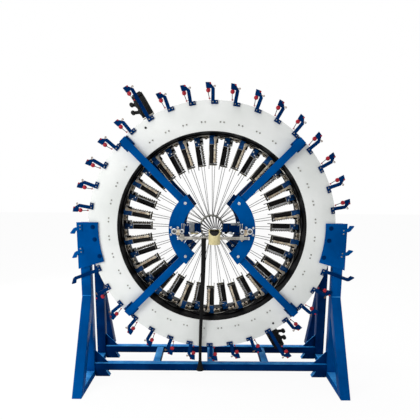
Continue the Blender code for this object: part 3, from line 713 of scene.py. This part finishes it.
def guide_hook(bend):
    """A hook at the top of the ring with its pulley, thread rod, eyelets and steel curl."""
    wheel = [(0.0, -0.013), (0.008, -0.0125), (0.015, -0.0105), (0.0205, -0.007), (0.022, -0.005),
             (0.0175, 0.0), (0.022, 0.005), (0.0205, 0.007), (0.0, 0.007)]
    parts = [turned(wheel, to_back((-0.047, -0.309, bend - 0.017)), 20, red_urethane, "pulley"),
             bar((-0.048, -0.312, bend - 0.036), (-0.037, -0.312, bend - 0.090), 0.004, black_iron, 6)]
    eyelet = [(0.003, -0.003), (0.0085, -0.003), (0.0085, 0.003), (0.003, 0.003)]
    low = (-0.035, -0.314, bend - 0.096)
    for place in (low, (-0.027, -hook_front - 0.003, bend + 0.047)):
        parts.append(turned(eyelet, to_back(place), 12, red_urethane, "eyelet", True))
    parts.append(bar(low, (-0.016, -0.316, low[2] + 0.002), 0.002, dark_steel, 6))
    curl_r, curl_depth = 0.007, -0.326
    curl = [(-0.004, curl_depth, bend + 0.014)]
    for turn_deg in range(-60, 241, 30):
        turn = math.radians(turn_deg)
        curl.append((0.018 + curl_r * math.sin(turn), curl_depth, bend + 0.020 + curl_r * math.cos(turn)))
    parts.append(wire(curl, 0.0036, rusty_wire, "curl"))
    head = [(0.018, bend), (-0.032, bend + 0.057), (-0.076, bend + 0.057), (-0.068, bend + 0.002), (-0.018, bend)]
    return whole_hook("guide_hook", head, parts)


def gooseneck(bend):
    """A gooseneck at the top of the ring."""
    head = [(0.018, bend), (0.008, bend + 0.022), (-0.042, bend + 0.060), (-0.050, bend + 0.052),
            (-0.050, bend + 0.012), (-0.026, bend), (-0.018, bend - 0.010)]
    return whole_hook("gooseneck", head, [])


# How far the bends of the two hooks beside the motors, and of the two long goosenecks, are above their feet
motor_hook_rise, long_neck_rise = 0.348, 0.297
plain_angles = [number * station_deg for number in range(stations)
                if number * station_deg not in motor_angles + long_neck_angles + ear_neck_angles]
for pattern, angles, label in (
        (guide_hook(hook_bend_r), plain_angles, "guide_hook_{station:02d}"),
        (guide_hook(hook_foot_r + motor_hook_rise), motor_angles, "motor_hook_{angle}"),
        (gooseneck(hook_foot_r + long_neck_rise), long_neck_angles, "long_gooseneck_{angle}")):
    for angle in angles:
        name = label.format(station=angle // station_deg, angle=angle)
        kept(copied(pattern, around(angle), name), "blue_paint")
    bpy.data.objects.remove(pattern)

# The goosenecks on the ear plates are part of the posts; these are their screws and the ears' painted bolts
ear_edge_x, neck_overlap = 1.42, 0.060
seats = []
for angle in ear_neck_angles:
    foot = ear_edge_x / abs(math.sin(math.radians(angle))) - neck_overlap
    for across, up in foot_screws:
        seats.append(seat(angle, across, -ear_face - hook_thick, foot + up))
set_on(cap_screw(0.0075, 0.006, cast_aluminium), seats, "ear_gooseneck_screws", "bright_steel")
seats = [facing @ Matrix.Translation((side * across, -ear_face, ring_height + up))
         for facing in (facing_front, facing_back) for side in (-1, 1)
         for across, up in ((1.250, 0.020), (1.235, -0.110), (1.190, -0.290))]
# The ears' bolts are in the deeper blue, as painted shade about them
set_on(hex_bolt(0.0158, 0.0145, deep_blue_and_painted_shade), seats, "ear_bolts", "blue_paint")


# Drive motors

def drive_motor():
    """The gearbox and finned motor at the top of the ring."""
    gearbox = block((0, 0, 1.262), (0.118, 0.128, 0.190), cast_aluminium, 0.006)
    # The square motor has fins along its four walls
    middle, wall = 1.476, 0.059
    parts = [
        inset(gearbox, lambda normal: abs(normal.y) > one_way, (0.012, 0), (0.002, -0.004)),
        block((0, 0, 1.364), (0.130, 0.130, 0.012), bright_steel, 0.002),
        block((0, 0, middle), (0.112, 0.112, 0.206), black_plastic, 0.004),
    ]
    for fin in range(9):
        offset = -0.048 + fin * 0.012
        for side in (-1, 1):
            parts.append(block((side * wall, offset, middle), (0.012, 0.005, 0.196), black_plastic, 0.001))
            parts.append(block((offset, side * wall, middle), (0.005, 0.012, 0.196), black_plastic, 0.001))
    parts.append(block((0, 0, 1.600), (0.126, 0.126, 0.030), black_plastic, 0.006))
    parts.append(block((0, 0, 1.622), (0.100, 0.100, 0.022), black_plastic, 0.008))
    # Right-angled connectors, their round ends to the front
    cap = [(0.0, 0.0), (0.019, 0.0), (0.0225, 0.004), (0.0225, 0.020), (0.0205, 0.022), (0.0205, 0.030),
           (0.0225, 0.032), (0.0225, 0.050), (0.0, 0.050)]
    for height, reach, rise in ((1.455, -0.128, 0.030), (1.540, -0.100, 0.022)):
        end = (reach, 0, height + rise)
        parts.append(block((-0.066, 0, height), (0.014, 0.050, 0.050), black_plastic, 0.003))
        parts.append(bar((-0.062, 0, height), end, 0.0175, black_plastic, 16, 0.002))
        parts.append(turned(cap, to_back((reach, -0.030, height + rise)), 24, black_plastic, "plug"))
    for across, depth in corners(0.048, 0.048):
        parts.append(rod(across, depth, 1.370, 1.378, 0.006, bright_steel, 6, 0.0008))
    return joined("drive_motor", parts)


motor = drive_motor()
for angle, side in zip(motor_angles, ("upper", "lower")):
    kept(copied(motor, around(angle), f"motor_{side}"), "motor_black", f"drive_motor_{side}")
bpy.data.objects.remove(motor)


# Arms, yokes and stand

# The members behind take the deeper blue coat: painted shade
coats = (("front", blue_paint), ("rear", deep_blue_and_painted_shade))
for place in ("upper_right", "lower_right", "lower_left", "upper_left"):
    for side, coat in coats:
        dressed(f"{side}_arm_{place}", coat, "blue_paint", 0.007)
for hand in ("left", "right"):
    for side, coat in coats:
        for kind, edge in (("yoke", 0.0015), ("post", 0.003), ("brace", 0.005)):
            dressed(f"{side}_{kind}_{hand}", coat, "blue_paint", edge)
    dressed(f"foot_beam_{hand}", blue_paint, "blue_paint", 0.004, painted_top_light)
    dressed(f"ring_bar_{hand}", deep_blue_and_painted_shade, "blue_paint", 0.002)
# The beams and cross tubes: their deeper blue is painted shade, and their tops take painted light from above
for node in ("front_beam", "rear_beam", "cross_tube_left", "cross_tube_middle", "cross_tube_right"):
    dressed(node, deep_blue_and_painted_shade, "blue_paint", 0.004, painted_top_light)

# The upper edges of the welds where the front braces meet their posts, in the lighter blue of a painted highlight
welds = [block((side * 1.355, -0.3065, 0.944), (0.094, 0.005, 0.007), painted_top_light, 0.0015) for side in (-1, 1)]
kept(joined("brace_welds", welds), "blue_paint")

# Bolts where the arms meet their yokes: one on each yoke's outer face and one, nearer the centre, on its inner face
outer_r, inner_r, inner_face = 0.39, 0.372, yoke_face - 0.015
seats = []
for angle in arm_angles:
    seats += [seat(angle, 0, -yoke_face, outer_r), seat(angle, 0, yoke_face, outer_r) @ facing_back,
              seat(angle, 0, inner_face, inner_r), seat(angle, 0, -inner_face, inner_r) @ facing_back]
set_on(hex_bolt(0.0105, 0.010, polished_steel), seats, "yoke_bolts", "bright_steel")
seats = []
for angle in arm_angles:
    for across, up in corners(0.048, 0.045):
        seats += [seat(angle, across, -arm_pad_face, arm_pad_r + up),
                  seat(angle, across, arm_pad_face, arm_pad_r + up) @ facing_back]
set_on(hex_bolt(0.0075, 0.007, dark_steel), seats, "arm_pad_bolts", "bright_steel")
seats = [Matrix.Translation((side * slide_x + across, -yoke_face - flange_thick, slide_z + up))
         for side in (-1, 1) for across, up in corners(0.036, 0.036)]
set_on(hex_bolt(0.0085, 0.008, polished_steel), seats, "slide_flange_bolts", "bright_steel")


# Centre: tubes, ring, rail, bush and sleeve

def slide_tube(side):
    """A bright tube through both yokes, its end ringed, with its painted square flange on the front yoke."""
    reach = yoke_face + 0.035
    profile = [(0.019, 0.0), (0.019, 2 * reach), (0.025, 2 * reach), (0.025, 0.016), (0.029, 0.014),
               (0.031, 0.012), (0.031, 0.002), (0.029, 0.0)]
    middle = side * slide_x
    tube = turned(profile, to_back((middle, -reach, slide_z)), 32, polished_steel, "slide_tube", True)
    half = 0.048
    square = [(middle - half, slide_z - half), (middle + half, slide_z - half), (middle + half, slide_z + half),
              (middle - half, slide_z + half)]
    hole = circle((middle, slide_z), 0.0262, 24)
    flange = cut_plate([square, hole], -yoke_face - flange_thick, -yoke_face - hair_gap, blue_paint, 0.0015, "flange")
    return joined("slide_tube", [tube, flange])


for side, hand in ((-1, "left"), (1, "right")):
    kept(slide_tube(side), "bright_steel", f"slide_tube_{hand}")


def cross_rail():
    """The rail across the yokes, with its two clamps, their bright eyes, and a pair of uprights on each."""
    middle = -0.4029
    parts = [block((0.015, middle, rail_z), (0.750, 0.030, 0.030), bright_steel, 0.003)]
    for side in (-1, 1):
        across = side * 0.310
        eye = [(0.011, 0.0), (0.022, 0.0), (0.024, 0.002), (0.024, 0.040), (0.022, 0.042), (0.011, 0.042)]
        parts += [
            block((across, middle, rail_z + 0.010), (0.044, 0.034, 0.060), bright_steel, 0.004),
            block((side * 0.350, middle - 0.008, slide_z - 0.010), (0.044, 0.022, 0.058), lever_metal, 0.003),
            turned(eye, to_back((across, middle - 0.027, slide_z)), 24, polished_steel, "eye", True),
            rod(across, middle, rail_z - 0.012, rail_z - 0.034, 0.010, lever_metal, 6),
        ]
        for way in (-0.011, 0.011):
            foot = side * 0.300 + way
            parts.append(rod(foot, middle, slide_z, rail_z + 0.150, 0.0052, cast_aluminium, 10))
            parts.append(rod(foot, middle, rail_z + 0.138, rail_z + 0.148, 0.0062, bright_steel, 6))
    # End stops and a fine adjusting screw below the left half
    for across in (-0.352, 0.382):
        parts.append(block((across, middle, rail_z), (0.014, 0.034, 0.034), polished_steel, 0.003))
    parts.append(bar((-0.262, middle - 0.012, rail_z - 0.012), (-0.288, middle - 0.012, rail_z - 0.052), 0.0035,
                     polished_steel, 8))
    return joined("cross_rail", parts)


kept(cross_rail(), "bright_steel", "cross_rail")


def bar_fittings():
    """The aluminium and steel blocks clamped on the bars that hold the yarn ring."""
    parts = [block(centre, size, paint, 0.002) for centre, size, paint in (
        ((-0.222, 0, slide_z), (0.056, 0.058, 0.112), cast_aluminium),
        ((-0.176, -0.024, slide_z + 0.006), (0.030, 0.014, 0.064), deep_blue_and_painted_shade),
        ((-0.172, -0.024, slide_z - 0.046), (0.036, 0.020, 0.012), polished_steel),
        ((-0.196, -0.026, slide_z - 0.062), (0.086, 0.024, 0.013), cream_nylon),
        ((0.262, -0.026, slide_z + 0.044), (0.096, 0.024, 0.026), cast_aluminium),
        ((0.300, -0.024, slide_z + 0.052), (0.022, 0.016, 0.034), polished_steel),
        ((0.213, -0.026, slide_z - 0.052), (0.054, 0.026, 0.018), polished_steel),
        ((0.160, -0.022, slide_z - 0.056), (0.030, 0.030, 0.022), black_iron),
        ((0.186, -0.022, slide_z - 0.004), (0.008, 0.010, 0.092), dark_steel))]
    for across in (-0.300, 0.300, -0.270, 0.334):
        bolt = hex_bolt(0.007, 0.007, polished_steel)
        bolt.data.transform(Matrix.Translation((across, -0.0202, slide_z + 0.030)))
        parts.append(bolt)
    return joined("bar_fittings", parts)


kept(bar_fittings(), "bright_steel")

yarn_ring_r, yarn_ring_wire_r = 0.128, 0.012
section = circle((yarn_ring_r, 0), yarn_ring_wire_r, 16)
stand_up = Matrix.Translation((0, 0, ring_height)) @ Matrix.Rotation(math.radians(90), 4, "X")
kept(turned(section, stand_up, 96, grey_steel, "yarn_ring", True), "grey_steel", "forming_ring")


def guide_bush():
    """The cream bush on the rail, its mouth cut on a slant towards the front, and the braid that fills it."""
    middle = 0.024
    place = Matrix.Translation((middle, -0.4785, 1.536))
    profile = [(0.051, 0.0), (0.0595, 0.0), (0.060, 0.001), (0.060, 0.148), (0.051, 0.148)]
    cup = turned(profile, place, 48, cream_nylon, "guide_bush", True)
    braid = turned([(0.0, 0.004), (0.050, 0.004), (0.050, 0.140), (0.0, 0.140)], place, 32, black_yarn, "braid")
    for piece, rise in ((cup, 0.0), (braid, -0.012)):
        alone(piece)
        bpy.ops.object.mode_set(mode="EDIT")
        bpy.ops.mesh.select_all(action="SELECT")
        bpy.ops.mesh.bisect(plane_co=(middle, -0.5385, 1.620 + rise), plane_no=(0, -0.65, 0.76), clear_outer=True,
                            use_fill=True)
        leave_edit()
        closed_up(piece)
        rounded(piece, 0.0012, 2, 40)
    return joined("guide_bush", [cup, braid])


kept(guide_bush(), "cream_plastic", "guide_bush")


def sleeve():
    """The braided sleeve from the rail to the front beam, with its flared end."""
    top = Vector((-0.085, -0.4420, rail_z))
    foot = Vector((-0.120, -0.3423, 0.128))
    neck = foot + Vector((0, 0, 0.120))
    start = top - Vector((0, 0, 0.060))
    # Radii at the top and over the flare, and how much and how suddenly the end widens
    top_r, neck_r, flare_r, flare_power = 0.0245, 0.0165, 0.028, 2.2
    line = [(top, top_r)]
    fall_steps, flare_steps = 40, 8
    for step in range(fall_steps + 1):
        share = step / fall_steps
        ease = share * share * (3 - 2 * share)
        place = start.lerp(neck, ease)
        place.z = start.z + (neck.z - start.z) * share
        line.append((place, top_r + (neck_r - top_r) * ease))
    for step in range(1, flare_steps + 1):
        share = step / flare_steps
        line.append((neck.lerp(foot - Vector((0, 0, 0.018)), share), neck_r + flare_r * share ** flare_power))
    piece = lines_of("sleeve", [[place for place, radius in line]], False)
    curve = piece.data
    curve.bevel_depth = 1.0
    curve.bevel_resolution = 8
    curve.use_fill_caps = True
    for point, (place, radius) in zip(curve.splines[0].points, line):
        point.radius = radius
    meshed(piece)
    made = smoothed(settled("sleeve", black_braid), 60)
    # Its flat pattern, in units of 25 mm both around and along
    layer = made.data.uv_layers[0] if made.data.uv_layers else made.data.uv_layers.new(name="braid")
    for face in made.data.polygons:
        for corner, vertex in zip(face.loop_indices, face.vertices):
            spot = made.data.vertices[vertex].co
            middle = top.x + (foot.x - top.x) * min(1, max(0, (1.5 - spot.z) / 1.3))
            turn = math.atan2(spot.x - middle, -(spot.y + 0.40))
            layer.data[corner].uv = (turn / math.pi * 3, spot.z * 40)
    return kept(made, "black_braid", "braided_sleeve")


sleeve()


# Yarns from the carriers over the ring to the bush

def yarns():
    """Two taut yarns from each carrier, round the back of the yarn ring and through it to the bush's mouth."""
    mouth = Vector((0.024, -0.474, ring_height - 0.004))
    eye_depth, eye_r = carrier_depth - 0.012, 0.668
    # Neighbours' yarns draw together on the ring, as the two sets of carriers cross there
    gather_deg, apart_deg = 2.6, 0.9
    runs = []
    for number in range(stations):
        side = 1 if number % 2 else -1
        angle = number * station_deg + carrier_lead_deg
        for across, way in ((-0.012, -apart_deg), (0.018, apart_deg)):
            run = [on_ring(angle, across, side * eye_depth, eye_r)]
            for back, radius in ((0.006, 0.1415), (0.0145, yarn_ring_r), (0.006, 0.1145)):
                run.append(on_ring(angle - side * gather_deg + way, 0, back, radius))
            run.append(mouth + (on_ring(angle, 0, 0, 0.036) - Vector((0, 0, ring_height))))
            runs.append(run)
    piece = lines_of("yarns", runs, False)
    piece.data.bevel_depth = 0.0028
    piece.data.bevel_resolution = 0
    meshed(piece)
    return kept(settled("yarns", grey_yarn), "black_braid")


yarns()


# Floor, light and camera

def studio():
    """A plain white floor and room, a broad lamp from the left front, one above and one from the left behind.

    The floor glows plain white for the camera and is matte paper for the rest, so only a faint shade shows on it.
    """
    floor_glow_share, room_fill, room_seen = 0.94, 0.51, 1.0
    alone()
    bpy.ops.mesh.primitive_plane_add(size=60, location=(0, 0, 0))
    floor = bpy.context.object
    floor.name = "floor"
    paper = bpy.data.materials.new("white studio floor")
    paper.use_nodes = True
    tree = paper.node_tree
    out = tree.nodes["Material Output"]
    matte = tree.nodes["Principled BSDF"]
    matte.inputs["Base Color"].default_value = linear("#FBFBFB")
    matte.inputs["Roughness"].default_value = 0.9
    glow = add(tree, "ShaderNodeEmission", {"Color": linear("#FFFFFF"), "Strength": 1.0})
    seen = add(tree, "ShaderNodeLightPath")
    share = add(tree, "ShaderNodeMath", {0: seen.outputs["Is Camera Ray"], 1: floor_glow_share},
                operation="MULTIPLY")
    mixed = add(tree, "ShaderNodeMixShader", {0: share.outputs[0], 1: matte.outputs[0], 2: glow.outputs[0]})
    tree.links.new(mixed.outputs[0], out.inputs["Surface"])
    floor.data.materials.append(paper)

    world = bpy.data.worlds.new("studio")
    bpy.context.scene.world = world
    world.use_nodes = True
    tree = world.node_tree
    seen = add(tree, "ShaderNodeLightPath")
    direct = add(tree, "ShaderNodeMath", {0: seen.outputs["Is Camera Ray"], 1: seen.outputs["Is Glossy Ray"]},
                 operation="MAXIMUM")
    level = add(tree, "ShaderNodeMapRange", {"Value": direct.outputs[0], "To Min": room_fill, "To Max": room_seen})
    tree.nodes["Background"].inputs["Color"].default_value = linear("#FFFFFF")
    tree.links.new(level.outputs[0], tree.nodes["Background"].inputs["Strength"])

    aim = Vector((0, 0, 1.4))
    # Name, place, size in metres and power in watts
    lamps = (("lamp_left", (-4.2, -4.4, 3.4), 2.5, 152), ("lamp_top", (-0.6, 0.8, 7.0), 4.0, 260),
             ("lamp_back", (-4.0, 3.2, 3.4), 3.0, 150))
    for name, place, size, power in lamps:
        lamp = bpy.data.lights.new(name, "AREA")
        lamp.size = size
        lamp.energy = power
        stand = bpy.data.objects.new(name, lamp)
        bpy.context.scene.collection.objects.link(stand)
        stand.location = place
        stand.rotation_euler = (aim - Vector(place)).to_track_quat("-Z", "Y").to_euler()


studio()

# The camera, as fitted to the photograph: angles in radians, and the focal length and the middle of view in pixels
pitch, roll = math.radians(9.97), 0.006
photo_px, focal_px, middle_px = 420, 408.0, (207.0, 259.8)
sensor_mm = 36
camera = bpy.data.cameras.new("camera")
camera.sensor_width = sensor_mm
camera.lens = focal_px / photo_px * sensor_mm
camera.shift_x = (photo_px / 2 - middle_px[0]) / photo_px
camera.shift_y = (middle_px[1] - photo_px / 2) / photo_px
viewpoint = bpy.data.objects.new("camera", camera)
bpy.context.scene.collection.objects.link(viewpoint)
viewpoint.location = (-0.05, -4.6, 2.1)
viewpoint.rotation_mode = "QUATERNION"
viewpoint.rotation_quaternion = Quaternion((1, 0, 0), math.radians(90) - pitch) @ Quaternion((0, 0, 1), roll)
bpy.context.scene.camera = viewpoint
bpy.context.scene.view_settings.view_transform = "Standard"
